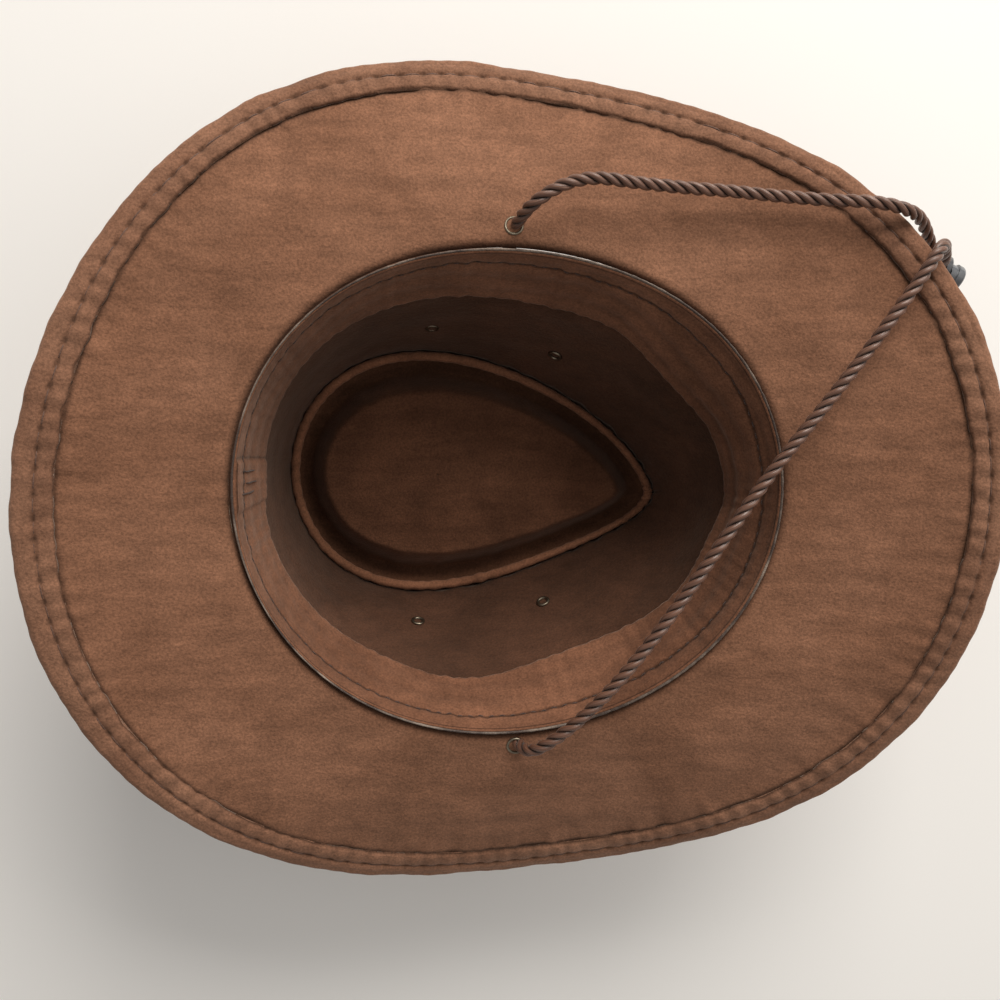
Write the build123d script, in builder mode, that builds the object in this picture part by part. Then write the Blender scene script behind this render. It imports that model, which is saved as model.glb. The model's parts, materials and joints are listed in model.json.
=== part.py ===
"""Western hat with a chin cord and a cord lock. It rests on its crown, so the head opening and the
brim's underside face up (+Z); +X is the front of the hat and -Y the wearer's left. Millimetres."""
from build123d import *
import os
from math import atan2, cos, hypot, pi, sin, tan

# ---- head opening, brim and crown -----------------------------------------------------------
MOUTH_Z = 105.7          # mean height of the head opening's edge above the surface the hat rests on
MOUTH_SADDLE = 2.9       # the opening's front and back stand this much higher, its sides lower
WALL_TAPER = 0.85        # share of the crown wall's taper that is straight; the rest bulges
SEAM_Z = 8.5             # height of the seam between the crown's wall and its top panel
WALL_FOOT_Z, WALL_DROP = 9.0, 0.9     # foot of the wall, and how far its top stays under the brim
RING_PARTS, RING_SECTIONS = 4, 9     # stretches round the hat, and steps in each
SAMPLES = 360            # steps round the brim for its middle

CLOTH = 1.0              # suede cloth
BOARD = 1.6              # stiffener between the brim's two cloths
BRIM = 2 * CLOTH + BOARD
HEM_WIDTH = 12.5
HEM_LAP = 6.0            # the brim's layers stop this far inside the hem's outer edge
HEM_SKIN = 0.9
HEM_GAP = 0.15           # between the hem and the layers that it holds
WIRE_R, WIRE_SIDES = 0.9, 8
WIRE_INSET = 4.0
STITCH_INSET = 6.6
THREAD = 0.7

LINING_GAP = 0.4         # between the opening's outline and the crown's lining
LINING = 1.0
WALL = 1.4
BRIM_GAP = LINING_GAP + LINING + 0.4

BAND_DEPTH = 33.0        # sweatband, from its fold down into the crown
BAND = 1.0
BAND_LEAN = 2.4          # its free edge stands this far in from the wall
REED, REED_LIFT = 1.4, 0.05
STITCH_CLEAR = 0.9       # the lean of the band at its stitches, and a little more
TACKS, TACK_LENGTH, TACK_PITCH = 3, 9.0, 4.4

# ---- top panel: a teardrop with a teardrop dent ----------------------------------------------
# Each outline: middle, half length, width, how blunt its nose is and how far the nose bends to the left.
TIP_OUTLINE = (-9.1, 80.3, 65.9, 14.0, -10.3)
DENT_OUTLINE = (-10.0, 63.0, 43.0, 8.0, -8.0)
TIP_SHARPNESS, NOSE_POWER = 0.8, 6
TIP_HUB_X = -25.0
HUB_R, HUB_LAP = 12.0, 0.5
RIM_DROP = -0.4          # the rim's lowest line, before the table flattens it
DENT_HEIGHT, DENT_CROWN = 15.0, 4.0
PANEL = 1.4
PIPING = 2.2

# ---- eyelets ----------------------------------------------------------------------------------
BRIM_EYELETS = {"left": (3.5, -93.0), "right": (3.5, 95.0)}
BRIM_EYELET_BORE, BRIM_EYELET_WALL, BRIM_FLANGE = 2.45, 0.45, 3.5
VENTS = {"left_back": (-34.0, -1), "left_front": (20.0, -1),
         "right_back": (-26.4, 1), "right_front": (25.0, 1)}
VENT_Z = 33.0
VENT_BORE, VENT_WALL, VENT_FLANGE = 1.6, 0.4, 3.0
FLANGE = 0.5
WASHER_GAP = 0.05

# ---- hat band ---------------------------------------------------------------------------------
STRAP_LOW_Z, STRAP_WIDTH, STRAP = 69.0, 14.0, 1.6
STRAP_GAP = 0.5
BUCKLE_ANGLE = -1.95     # radians from the front, on the wearer's left
BUCKLE_LENGTH, BUCKLE_HEIGHT, BUCKLE_THICK, BUCKLE_BAR = 21.0, 21.0, 1.8, 2.6

# ---- chin cord and its lock -------------------------------------------------------------------
CORD_D = 4.6
KNOT_R = 4.6
ARC_SHARE = 0.45         # share of the shorter run that an arc takes up
LOCK_X, LOCK_Y, LOCK_Z = 159.0, 84.0, 84.0
LOCK_AXIS = (0.88, -0.47)
STRAND_GAP = 5.6         # between the two strands' centre lines in the lock
BARREL_R, BARREL_BACK, BARREL_MOUTH, BARREL_BORE = 6.2, -14.0, 7.6, 4.7
BARREL_FLOOR = -12.4
SLOT_WIDTH, SLOT_HALF = 5.4, 5.5
PLUNGER_R, PLUNGER_END, PLUNGER_TRAVEL = 4.4, -7.6, 3.0
HEAD_R, HEAD_START, HEAD_LENGTH = 5.2, 11.0, 3.4
SPRING_WIRE, SPRING_R, SPRING_TURNS = 0.3, 3.0, 3


def wave(angle, mean, cosines, sines=()):
    """A closed outline's radius or height: a mean and the shares of its cosine and sine waves."""
    value = mean
    for k, share in enumerate(cosines, 1):
        value += share * cos(k * angle)
    for k, share in enumerate(sines, 1):
        value += share * sin(k * angle)
    return value


def mouth_radius(angle):
    return wave(angle, 92.0, (0.4, 4.4, 0.8), (0.4, 0.0, 0.7))


def brim_radius(angle):
    return wave(angle, 164.2, (3.5, 7.5, 3.4, -1.6, -1.0), (-0.6, -1.1, -1.2, 1.0))


def mouth_height(angle):
    return wave(angle, MOUTH_Z, (0.0, MOUTH_SADDLE))


def edge_height(angle):
    return wave(angle, 101.0, (-3.8, 23.7, 0.7, -1.0), (0.0, 3.6))


def brim_height(x, y):
    """Height of the brim's underside over a point given from the middle of the head opening."""
    angle, radius = atan2(y, x), hypot(x, y)
    mouth = mouth_radius(angle)
    u = (radius - mouth) / (brim_radius(angle) - mouth)
    rise = edge_height(angle) - mouth_height(angle)
    if u >= 0:
        return mouth_height(angle) + rise * (u + u * u) / 2
    return MOUTH_Z + (mouth_height(angle) - MOUTH_Z + rise * u / 2) * (radius / mouth) ** 2


ANGLES = [2 * pi * i / SAMPLES for i in range(SAMPLES)]
EDGE_X = [brim_radius(a) * cos(a) for a in ANGLES]
EDGE_Y = [brim_radius(a) * sin(a) for a in ANGLES]
HEAD_X = -(max(EDGE_X) + min(EDGE_X)) / 2     # the origin lies under the middle of the brim
HEAD_Y = -(max(EDGE_Y) + min(EDGE_Y)) / 2


def teardrop(t, outline):
    """A point of a teardrop outline whose nose, towards the front, is at t = 0."""
    mid_x, half_length, width, blunt, bend = outline
    near_nose = ((1 + cos(t)) / 2) ** NOSE_POWER
    half_width = width * abs(sin(t / 2)) ** TIP_SHARPNESS + blunt * near_nose
    return mid_x + half_length * cos(t), half_width * sin(t) + bend * near_nose


def bearing(t, outline):
    """Direction of a teardrop's point from the panel's hub."""
    x, y = teardrop(t, outline)
    return atan2(y, x - TIP_HUB_X)


def teardrop_radius(angle, outline):
    """A teardrop's radius from the panel's hub, found by halving the range of t."""
    wanted = (angle - bearing(0, outline)) % (2 * pi)
    low, high = 0.0, 2 * pi
    for _ in range(30):
        t = (low + high) / 2
        if (bearing(t, outline) - bearing(0, outline)) % (2 * pi) < wanted:
            low = t
        else:
            high = t
    x, y = teardrop(t, outline)
    return hypot(x - TIP_HUB_X, y)


def smooth(t):
    t = min(max(t, 0.0), 1.0)
    return t * t * (3 - 2 * t)


def tip_height(x, y):
    """Height of the top panel's inner face: seam, rolled rim, then the dent's raised floor."""
    angle, radius = atan2(y, x - TIP_HUB_X), hypot(x - TIP_HUB_X, y)
    outer = teardrop_radius(angle, TIP_OUTLINE)
    inner = teardrop_radius(angle, DENT_OUTLINE)
    p = min((radius - inner) / (outer - inner), 1.03)
    rim = CLOTH + PANEL + RIM_DROP
    if p >= 0.7:
        return rim + (SEAM_Z - rim) * ((p - 0.7) / 0.3) ** 2
    if p >= 0:
        return rim + DENT_HEIGHT * smooth((0.55 - p) / 0.55)
    return rim + DENT_HEIGHT + DENT_CROWN * (1 - smooth((radius - HUB_R) / (inner - HUB_R)))


def radial_plane(angle):
    """Upright plane through the middle of the head opening: x is the radius and y the height."""
    return Plane(origin=(HEAD_X, HEAD_Y, 0), x_dir=(cos(angle), sin(angle), 0),
                 z_dir=(sin(angle), -cos(angle), 0))


def ring_loft(section, start=0.0):
    """Loft a closed section all round the hat, in stretches that share their end sections."""
    for part in range(RING_PARTS):
        angles = [start + 2 * pi * (part + i / RING_SECTIONS) / RING_PARTS for i in range(RING_SECTIONS + 1)]
        loft([section(angle) for angle in angles])


def brim_section(angle, low, high, outer_inset, inner_inset=None):
    """Section of a layer of the brim between two depths below its underside and two insets."""
    outer = brim_radius(angle) - outer_inset
    inner = mouth_radius(angle) + BRIM_GAP if inner_inset is None else brim_radius(angle) - inner_inset
    radii = [inner + (outer - inner) * i / 4 for i in range(5)]
    surface = [(r, brim_height(r * cos(angle), r * sin(angle))) for r in radii]
    with BuildSketch(radial_plane(angle)) as section:
        with BuildLine():
            under = Spline([(r, z - high) for r, z in surface])
            over = Spline([(r, z - low) for r, z in surface])
            Line(under @ 0, over @ 0)
            Line(under @ 1, over @ 1)
        make_face()
    return section.sketch


def hem_section(angle):
    """The hem folds round the brim's edge: a U that holds the layers and the wire."""
    def at(inset, depth):
        radius = brim_radius(angle) - inset
        return radius, brim_height(radius * cos(angle), radius * sin(angle)) - depth

    skin = HEM_SKIN + HEM_GAP
    turn = BRIM / 2 + skin
    with BuildSketch(radial_plane(angle)) as section:
        with BuildLine():
            Polyline(at(turn, -skin), at(HEM_WIDTH, -skin), at(HEM_WIDTH, -HEM_GAP), at(skin + 1, -HEM_GAP),
                     at(skin + 1, BRIM + HEM_GAP), at(HEM_WIDTH, BRIM + HEM_GAP), at(HEM_WIDTH, BRIM + skin),
                     at(turn, BRIM + skin))
            ThreePointArc(at(turn, BRIM + skin), at(0, BRIM / 2), at(turn, -skin))
        make_face()
    return section.sketch


def wire_section(angle):
    radius = brim_radius(angle) - WIRE_INSET
    height = brim_height(radius * cos(angle), radius * sin(angle)) - BRIM / 2
    with BuildSketch(radial_plane(angle)) as section:
        with Locations((radius, height)):
            RegularPolygon(WIRE_R, WIRE_SIDES)
    return section.sketch


def brim_plane(x, y):
    """Plane on the brim's underside at a point, with its normal facing up."""
    d = 0.5
    slope_x = (brim_height(x + d, y) - brim_height(x - d, y)) / (2 * d)
    slope_y = (brim_height(x, y + d) - brim_height(x, y - d)) / (2 * d)
    return Plane(origin=(HEAD_X + x, HEAD_Y + y, brim_height(x, y)), x_dir=(1, 0, slope_x),
                 z_dir=(-slope_x, -slope_y, 1))


def wall_share(z):
    """How far the wall has gone from the opening's outline (0) to the top panel's (1)."""
    s = (MOUTH_Z - z) / (MOUTH_Z - SEAM_Z)
    return WALL_TAPER * s + (1 - WALL_TAPER) * max(s, 0) ** 2


def wall_lines(t):
    """The wall's place on the opening's outline, the unit step out from the panel's, and its run."""
    tip_x, tip_y = teardrop(t, TIP_OUTLINE)
    x, y = mouth_radius(t) * cos(t), mouth_radius(t) * sin(t)
    run = hypot(x - tip_x, y - tip_y)
    return (x, y), ((x - tip_x) / run, (y - tip_y) / run), run


def wall_xy(t, z, gap):
    """A point of the crown's wall at height z, a gap outside its inner outline."""
    (x, y), (out_x, out_y), run = wall_lines(t)
    step = gap - run * wall_share(z)
    return x + step * out_x, y + step * out_y


def wall_section(t, gap, thickness, heights, lean=0.0):
    """Section of a layer of the wall through some heights; its foot leans in from the wall."""
    (x, y), (out_x, out_y), run = wall_lines(t)
    low, high = heights[0], heights[-1]
    inner = [(gap - run * wall_share(z) - lean * (high - z) / (high - low), z) for z in heights]
    plane = Plane(origin=(HEAD_X + x, HEAD_Y + y, 0), x_dir=(out_x, out_y, 0), z_dir=(out_y, -out_x, 0))
    with BuildSketch(plane) as section:
        with BuildLine():
            inside = Spline(inner)
            outside = Spline([(step + thickness, z) for step, z in inner])
            Line(inside @ 0, outside @ 0)
            Line(inside @ 1, outside @ 1)
        make_face()
    return section.sketch


def wall_radius(angle, z, gap):
    """The wall's distance from the middle of the head opening, found by halving the range of t."""
    low, high = angle - 1, angle + 1
    for _ in range(30):
        t = (low + high) / 2
        x, y = wall_xy(t, z, gap)
        if sin(atan2(y, x) - angle) < 0:
            low = t
        else:
            high = t
    return hypot(x, y)


def thin_section(angle, gap, thickness, low, high):
    """Straight-sided section of a narrow ring that follows the wall between two heights."""
    corners = ((low, gap), (low, gap + thickness), (high, gap + thickness), (high, gap))
    with BuildSketch(radial_plane(angle)) as section:
        with BuildLine():
            Polyline(*[(wall_radius(angle, z, out), z) for z, out in corners], close=True)
        make_face()
    return section.sketch


def levels(t, low, high=None):
    """Five heights from low up to high, or up to the edge of the head opening."""
    top = mouth_height(t) if high is None else high
    return [low + (top - low) * i / 4 for i in range(5)]


def hub_plane(angle):
    """Upright plane through the top panel's hub: x is the distance from the hub and y the height."""
    return Plane(origin=(HEAD_X + TIP_HUB_X, HEAD_Y, 0), x_dir=(cos(angle), sin(angle), 0),
                 z_dir=(sin(angle), -cos(angle), 0))


def panel_section(angle, drop, thickness):
    """Section of the top panel from its flat middle out to the seam."""
    outer = teardrop_radius(angle, TIP_OUTLINE)
    inner = teardrop_radius(angle, DENT_OUTLINE)
    radii = [HUB_R + (inner - HUB_R) * share for share in (0, 0.33, 0.67, 1)]
    radii += [inner + (outer - inner) * share for share in (0.14, 0.28, 0.42, 0.55, 0.7, 0.8, 0.9, 1)]
    top = [(r, tip_height(TIP_HUB_X + r * cos(angle), r * sin(angle)) - drop) for r in radii]
    with BuildSketch(hub_plane(angle)) as section:
        with BuildLine():
            over = Spline(top)
            under = Spline([(r, z - thickness) for r, z in top])
            Line(over @ 0, under @ 0)
            Line(over @ 1, under @ 1)
        make_face()
    return section.sketch


def piping_section(angle):
    """The piping lies on the panel's edge, just inside the crown's wall."""
    edge = teardrop_radius(angle, TIP_OUTLINE)
    with BuildSketch(hub_plane(angle)) as section:
        with BuildLine():
            Polyline((edge - PIPING, SEAM_Z + 0.2), (edge, SEAM_Z + 0.2), (edge, SEAM_Z + 0.2 + PIPING),
                     (edge - PIPING, SEAM_Z + 0.2 + PIPING), close=True)
        make_face()
    return section.sketch


def wall_plane(t, z, gap):
    """Plane on the crown's wall with its normal facing out, x along the wall and y up it."""
    (x0, y0), (x1, y1) = wall_xy(t - 0.02, z, gap), wall_xy(t + 0.02, z, gap)
    x, y = wall_xy(t, z, gap)
    lower, upper = wall_xy(t, z - 1, gap), wall_xy(t, z + 1, gap)
    along = Vector(x1 - x0, y1 - y0, 0)
    up = Vector(upper[0] - lower[0], upper[1] - lower[1], 2)
    return Plane(origin=(HEAD_X + x, HEAD_Y + y, z), x_dir=along, z_dir=along.cross(up))


def vent_plane(x, side):
    """Plane of a vent on the lining's inner face, at the place along the crown where x is."""
    low, high = 0.0, pi
    for _ in range(30):
        t = (low + high) / 2
        if wall_xy(t, VENT_Z, LINING_GAP)[0] > x:
            low = t
        else:
            high = t
    return wall_plane(side * t, VENT_Z, LINING_GAP)


def save(piece, name):
    """Label a finished piece and write it to its own file."""
    piece.part.label = name
    export_step(piece.part, f"parts/{name}.step")


os.makedirs("parts", exist_ok=True)
brim_planes = {side: brim_plane(*place) for side, place in BRIM_EYELETS.items()}
vent_planes = {name: vent_plane(*place) for name, place in VENTS.items()}

# ---- brim -------------------------------------------------------------------------------------
drop = 0.0
for layer, thickness in (("brim_under_cloth", CLOTH), ("brim_stiffener", BOARD), ("brim_top_cloth", CLOTH)):
    with BuildPart() as sheet:
        ring_loft(lambda angle: brim_section(angle, drop, drop + thickness, HEM_LAP))
        with Locations(*brim_planes.values()):
            Cylinder(BRIM_EYELET_BORE + BRIM_EYELET_WALL, 20, mode=Mode.SUBTRACT)
    save(sheet, layer)
    drop += thickness

with BuildPart() as wire:
    ring_loft(wire_section)
save(wire, "brim_edge_wire")

with BuildPart() as hem:
    ring_loft(hem_section)
save(hem, "brim_hem")

with BuildPart() as hem_thread:
    bottom, inner = -HEM_SKIN - 2 * HEM_GAP, STITCH_INSET + THREAD
    ring_loft(lambda angle: brim_section(angle, bottom - THREAD, bottom, STITCH_INSET, inner))
save(hem_thread, "hem_stitching")

# ---- crown ------------------------------------------------------------------------------------
for name, gap, thickness, fall in (("crown_side_lining", LINING_GAP, LINING, 0.0),
                                   ("crown_side", LINING_GAP + LINING, WALL, BRIM + WALL_DROP)):
    with BuildPart() as wall:
        ring_loft(lambda t: wall_section(t, gap, thickness, levels(t, WALL_FOOT_Z, mouth_height(t) - fall)))
        with Locations(*vent_planes.values()):
            Cylinder(VENT_BORE + VENT_WALL, 12, mode=Mode.SUBTRACT)
    save(wall, name)

drop = 0.0
for name, thickness in (("crown_tip_lining", CLOTH), ("crown_tip", PANEL)):
    with BuildPart() as panel:
        ring_loft(lambda angle: panel_section(angle, drop, thickness), bearing(0, TIP_OUTLINE))
        middle = CLOTH + PANEL + RIM_DROP + DENT_HEIGHT + DENT_CROWN - drop
        with BuildSketch(Plane(origin=(HEAD_X + TIP_HUB_X, HEAD_Y, middle))) as hub:
            Circle(HUB_R + HUB_LAP)
        extrude(hub.sketch, amount=-thickness)
        split(bisect_by=Plane.XY, keep=Keep.TOP)
    save(panel, name)
    drop += thickness

with BuildPart() as piping:
    ring_loft(piping_section, bearing(0, TIP_OUTLINE))
save(piping, "tip_seam_piping")

# ---- sweatband --------------------------------------------------------------------------------
BAND_FOOT_Z = MOUTH_Z - BAND_DEPTH
with BuildPart() as sweatband:
    ring_loft(lambda t: wall_section(t, -BAND, BAND, levels(t, BAND_FOOT_Z), BAND_LEAN))
save(sweatband, "sweatband")

with BuildPart() as band_thread:
    ring_loft(lambda t: thin_section(t, -BAND - THREAD - STITCH_CLEAR, THREAD,
                                     mouth_height(t) - STITCH_INSET - THREAD, mouth_height(t) - STITCH_INSET))
save(band_thread, "sweatband_stitching")

with BuildPart() as reed:
    ring_loft(lambda t: thin_section(t, -(BAND + REED) / 2, REED,
                                     mouth_height(t) + REED_LIFT, mouth_height(t) + REED_LIFT + REED))
save(reed, "sweatband_reed")

with BuildPart() as tacks:
    with Locations(wall_plane(pi, MOUTH_Z - BAND_DEPTH / 2, -BAND - BAND_LEAN)):
        with GridLocations(TACK_PITCH, 0, TACKS, 1):
            Box(THREAD, TACK_LENGTH, THREAD)
save(tacks, "sweatband_tacks")

# ---- eyelets and washers ----------------------------------------------------------------------
def eyelet(plane, bore, wall, flange, inner_face, depth):
    """A flanged tube: its flange lies on a face above the plane, its tube goes down to a depth."""
    with BuildPart(plane) as piece:
        with BuildSketch(plane.offset(inner_face)):
            Circle(flange)
            Circle(bore, mode=Mode.SUBTRACT)
        extrude(amount=FLANGE)
        with BuildSketch(plane.offset(inner_face)):
            Circle(bore + wall - WASHER_GAP)
            Circle(bore, mode=Mode.SUBTRACT)
        extrude(amount=-depth)
        chamfer(piece.faces().sort_by(Axis(plane.origin, plane.z_dir))[-1].edges(), FLANGE / 4)
    return piece


def washer(plane, bore, flange, outer_face):
    with BuildPart() as piece:
        with BuildSketch(plane.offset(outer_face)):
            Circle(flange)
            Circle(bore, mode=Mode.SUBTRACT)
        extrude(amount=-FLANGE)
    return piece


for side, plane in brim_planes.items():
    save(eyelet(plane, BRIM_EYELET_BORE, BRIM_EYELET_WALL, BRIM_FLANGE, 0.05, BRIM + 2 * FLANGE),
         f"brim_eyelet_{side}")
    save(washer(plane, BRIM_EYELET_BORE + BRIM_EYELET_WALL, BRIM_FLANGE, -BRIM - 0.05), f"brim_washer_{side}")
for name, plane in vent_planes.items():
    inward = Plane(origin=plane.origin, x_dir=plane.x_dir, z_dir=-plane.z_dir)
    save(eyelet(inward, VENT_BORE, VENT_WALL, VENT_FLANGE, 0.1, LINING + WALL + 2 * FLANGE),
         f"vent_eyelet_{name}")
    save(washer(inward, VENT_BORE + VENT_WALL, VENT_FLANGE, -LINING - WALL - 0.1), f"vent_washer_{name}")

# ---- hat band and its buckle --------------------------------------------------------------------
STRAP_IN = LINING_GAP + LINING + WALL + STRAP_GAP
with BuildPart() as strap:
    ring_loft(lambda t: thin_section(t, STRAP_IN, STRAP, STRAP_LOW_Z, STRAP_LOW_Z + STRAP_WIDTH))
save(strap, "hat_band")

STRAP_MID_Z = STRAP_LOW_Z + STRAP_WIDTH / 2
buckle_plane = wall_plane(BUCKLE_ANGLE, STRAP_MID_Z, STRAP_IN + STRAP + 0.25)
with BuildPart() as buckle:
    with BuildSketch(buckle_plane):
        RectangleRounded(BUCKLE_LENGTH, BUCKLE_HEIGHT, 3)
        RectangleRounded(BUCKLE_LENGTH - 2 * BUCKLE_BAR, BUCKLE_HEIGHT - 2 * BUCKLE_BAR, 2,
                         mode=Mode.SUBTRACT)
    extrude(amount=BUCKLE_THICK)
    chamfer(buckle.faces().sort_by(Axis(buckle_plane.origin, buckle_plane.z_dir))[-1].edges(), 0.4)
save(buckle, "hat_band_buckle")

with BuildPart() as prong:
    with BuildSketch(buckle_plane.offset(BUCKLE_THICK + 0.05)):
        with Locations((BUCKLE_BAR / 2, 0)):
            SlotOverall(BUCKLE_LENGTH - BUCKLE_BAR, 2.0)
    extrude(amount=1.2)
save(prong, "hat_band_prong")

keeper_plane = wall_plane(BUCKLE_ANGLE + 0.2, STRAP_MID_Z, STRAP_IN + STRAP + 0.25)
with BuildPart() as keeper:
    with BuildSketch(keeper_plane):
        RectangleRounded(5, STRAP_WIDTH + 3, 1)
    extrude(amount=1.2)
save(keeper, "hat_band_keeper")

# ---- chin cord ----------------------------------------------------------------------------------
# Each strand runs from its knot under the brim up through an eyelet, over the brim, round its edge
# and down through the lock; the two meet in a loop below the lock.
right_strand = [(3.4, 92.0, 88.5), (3.6, 97.6, 112.2), (24, 110.5, 113.5), (50, 107.2, 111.5),
                (80, 105.5, 109.5), (106, 102.5, 112), (126, 101.3, 116.5), (137.5, 98.8, 115.8),
                (145, 97, 108.5), (150.5, 92, 102.5)]
left_strand = [(3.3, -89.9, 88.5), (3.6, -95.5, 112.2), (24, -80.5, 117.5), (44, -58, 120), (64, -30, 121),
               (89, 7, 119.5), (115, 39, 118.5), (134, 65, 119), (146.5, 83.5, 119), (152.5, 88.3, 111.5),
               (156.5, 86.5, 103)]
LOOP = ((STRAND_GAP / 2, 94.5), (STRAND_GAP / 2, 44.0), (15.0, 28.0), (15.5, 14.0), (8.0, 5.0))


def hanging(side):
    """One side of the hanging loop: its points lie in the upright plane of the lock's axis."""
    return [(LOCK_X + side * out * LOCK_AXIS[0], LOCK_Y + side * out * LOCK_AXIS[1], z) for out, z in LOOP]


route = [Vector(HEAD_X + x, HEAD_Y + y, z)
         for x, y, z in right_strand + hanging(-1) + hanging(1)[::-1] + left_strand[::-1]]
runs = [(b - a).length for a, b in zip(route, route[1:])]
turns = [(b - a).get_angle(c - b) for a, b, c in zip(route, route[1:], route[2:])]
radii = [ARC_SHARE * min(before, after) / tan(turn * pi / 360)
         for before, after, turn in zip(runs, runs[1:], turns)]
print("cord runs", [round(run, 1) for run in runs])
print("cord turns", [round(turn) for turn in turns])
print("cord radii", [round(radius, 1) for radius in radii])
with BuildPart() as cord:
    with BuildLine() as cord_path:
        FilletPolyline(*route, radius=radii)
    with BuildSketch(Plane(origin=cord_path.wire() @ 0, z_dir=cord_path.wire() % 0)):
        Circle(CORD_D / 2)
    sweep(path=cord_path.wire())
cord_length = cord_path.wire().length
print("cord length", round(cord_length, 1), "volume", round(cord.part.volume),
      "section x length", round(pi * CORD_D ** 2 / 4 * cord_length))
save(cord, "chin_cord")

for side, start in (("right", route[0]), ("left", route[-1])):
    with BuildPart() as knot:
        with Locations(start):
            Sphere(KNOT_R)
    save(knot, f"cord_knot_{side}")

# ---- cord lock ----------------------------------------------------------------------------------
lock_origin = (HEAD_X + LOCK_X, HEAD_Y + LOCK_Y, LOCK_Z)
across = Plane(origin=lock_origin, x_dir=(0, 0, 1), z_dir=(*LOCK_AXIS, 0))
upright = Plane(origin=lock_origin, x_dir=(*LOCK_AXIS, 0), z_dir=(0, 0, 1))


def strand_slot(start, end):
    """Cut the slot that the strands pass through, between two places along the lock's axis."""
    with BuildSketch(upright) as slot:
        with Locations(((start + end) / 2, 0)):
            SlotOverall(end - start, SLOT_WIDTH)
    extrude(slot.sketch, amount=2 * BARREL_R, both=True, mode=Mode.SUBTRACT)


with BuildPart() as barrel:
    with BuildSketch(across.offset(BARREL_BACK)) as body:
        Circle(BARREL_R)
    extrude(body.sketch, amount=BARREL_MOUTH - BARREL_BACK)
    fillet(barrel.faces().sort_by(Axis(lock_origin, (*LOCK_AXIS, 0)))[0].edges(), 2.5)
    chamfer(barrel.faces().sort_by(Axis(lock_origin, (*LOCK_AXIS, 0)))[-1].edges(), 0.6)
    with BuildSketch(across.offset(BARREL_FLOOR)) as bore:
        Circle(BARREL_BORE)
    extrude(bore.sketch, amount=BARREL_MOUTH - BARREL_FLOOR, mode=Mode.SUBTRACT)
    strand_slot(-SLOT_HALF, SLOT_HALF)
save(barrel, "cord_lock_barrel")

with BuildPart() as plunger:
    with BuildSketch(across.offset(PLUNGER_END)) as shaft:
        Circle(PLUNGER_R)
    extrude(shaft.sketch, amount=HEAD_START - PLUNGER_END)
    with BuildSketch(across.offset(HEAD_START)) as head:
        Circle(HEAD_R)
    extrude(head.sketch, amount=HEAD_LENGTH)
    fillet(plunger.faces().sort_by(Axis(lock_origin, (*LOCK_AXIS, 0)))[-1].edges(), 2.0)
    strand_slot(-SLOT_HALF, SLOT_HALF + PLUNGER_TRAVEL + 0.1)
save(plunger, "cord_lock_plunger")

SPRING_LENGTH = PLUNGER_END - BARREL_FLOOR - 4 * SPRING_WIRE
spring_plane = across.offset(BARREL_FLOOR + 2 * SPRING_WIRE)
with BuildPart() as spring:
    with BuildLine():
        coil = spring_plane.location * Helix(SPRING_LENGTH / SPRING_TURNS, SPRING_LENGTH, SPRING_R)
        add(coil)
    with BuildSketch(Plane(origin=coil @ 0, z_dir=coil % 0)):
        Circle(SPRING_WIRE)
    sweep(path=coil)
save(spring, "cord_lock_spring")
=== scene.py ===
"""A western hat resting on its crown: suede cloths, hem, sweatband, chin rope and trims.

Blender works in metres in the model's own frame. The hat's formulas are the model's, in millimetres
from the middle of the head opening, and place() moves them into the frame."""
import json
import bmesh
import bpy
import numpy as np
from math import cos, pi, radians, sin
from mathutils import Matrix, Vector


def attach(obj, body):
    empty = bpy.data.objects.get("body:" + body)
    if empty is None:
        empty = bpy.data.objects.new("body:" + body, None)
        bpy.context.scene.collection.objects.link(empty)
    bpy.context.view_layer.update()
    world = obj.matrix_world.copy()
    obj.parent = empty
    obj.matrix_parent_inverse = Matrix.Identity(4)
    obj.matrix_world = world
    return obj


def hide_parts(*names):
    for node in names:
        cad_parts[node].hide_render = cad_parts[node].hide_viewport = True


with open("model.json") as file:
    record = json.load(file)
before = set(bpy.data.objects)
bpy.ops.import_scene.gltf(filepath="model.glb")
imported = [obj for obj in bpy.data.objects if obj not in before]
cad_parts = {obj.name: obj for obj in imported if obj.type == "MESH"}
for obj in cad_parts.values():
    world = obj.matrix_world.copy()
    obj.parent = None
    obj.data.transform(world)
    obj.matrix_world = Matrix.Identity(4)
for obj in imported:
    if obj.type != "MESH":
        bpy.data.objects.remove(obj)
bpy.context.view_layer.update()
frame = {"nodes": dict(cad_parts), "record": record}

MM = 0.001
MOUNTS = {mount["name"]: mount for mount in frame["record"]["mounts"]}
HEAD_X, HEAD_Y = (v / MM for v in MOUNTS["head_opening"]["pos_m"][:2])

# ---- the hat's driving sizes, in millimetres, as in the model ---------------------------------
MOUTH_Z, MOUTH_SADDLE = 105.7, 2.9
WALL_TAPER, SEAM_Z = 0.85, 8.5
CLOTH, BOARD, PANEL = 1.0, 1.6, 1.4
BRIM = 2 * CLOTH + BOARD
HEM_WIDTH, HEM_LAP, STITCH_INSET = 12.5, 6.0, 6.6
HEM_STITCH = 7.6
LINING_GAP, LINING, WALL = 0.4, 1.0, 1.4
BAND_DEPTH, BAND_LEAN = 33.0, 2.4
TIP_OUTLINE = (-9.1, 80.3, 65.9, 14.0, -10.3)
DENT_OUTLINE = (-10.0, 63.0, 43.0, 8.0, -8.0)
TIP_SHARPNESS, NOSE_POWER, TIP_HUB_X, HUB_R = 0.8, 6, -25.0, 12.0
RIM_DROP, DENT_HEIGHT, DENT_CROWN = -0.4, 15.0, 4.0
STRAP_LOW_Z, STRAP_WIDTH, STRAP, STRAP_GAP = 69.0, 14.0, 1.6, 0.5
BRIM_EYELETS = {"left": (3.5, -93.0), "right": (3.5, 95.0)}
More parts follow.
